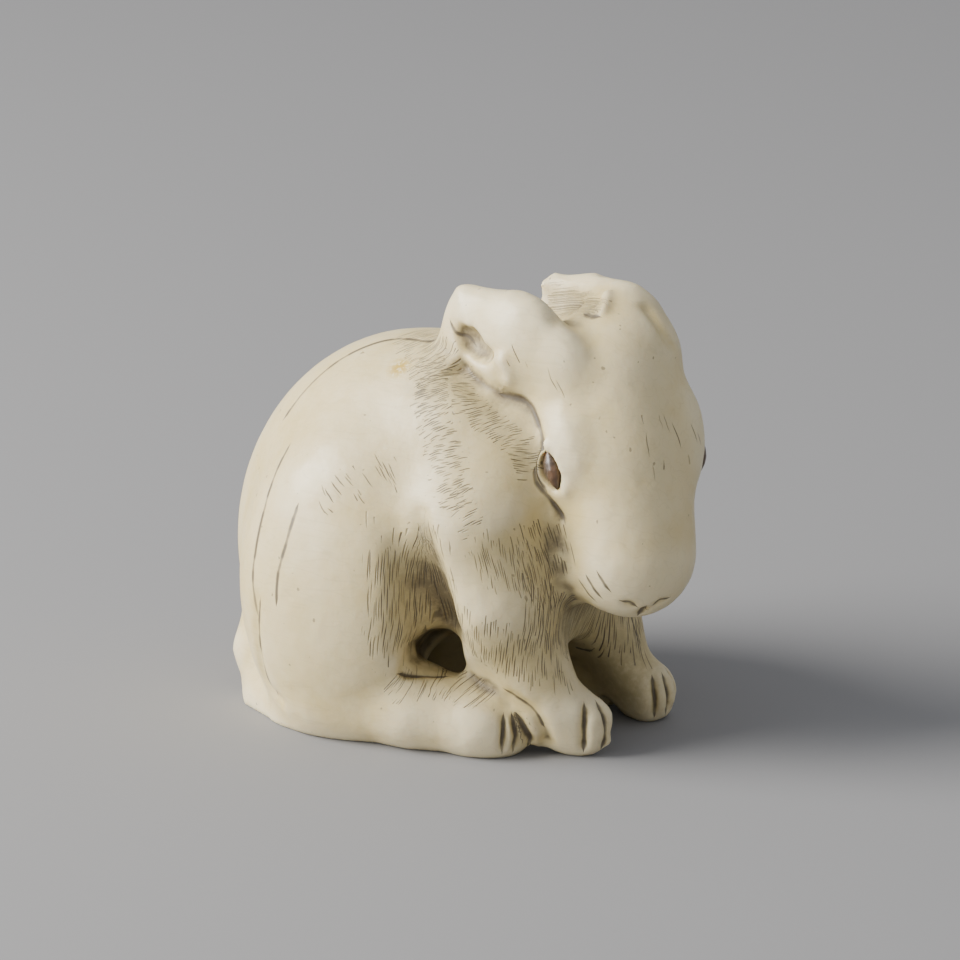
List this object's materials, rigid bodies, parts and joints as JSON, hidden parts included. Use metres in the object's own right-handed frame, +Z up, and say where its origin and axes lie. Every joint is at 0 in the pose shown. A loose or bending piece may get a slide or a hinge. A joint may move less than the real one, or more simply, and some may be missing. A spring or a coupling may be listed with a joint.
{
  "type": "netsuke",
  "caption": "Crouching hare carved in ivory with inlaid horn eyes, a small toggle that stands on its haunches and feet.",
  "frame": {"origin": "on the standing surface, under the middle of the bounding box", "axes": "+Z up; the hare's breast faces -Y and its rump +Y, so its right side, to which the head is turned, is -X"},
  "size_m": [0.0268, 0.036, 0.0318],
  "materials": {
    "ivory": "polished ivory, brown in the engraved lines and hollows",
    "horn": "polished dark horn"
  },
  "bodies": {
    "root": {"carved_hare": "ivory", "right_eye": "horn", "left_eye": "horn"}
  },
  "joints": []
}
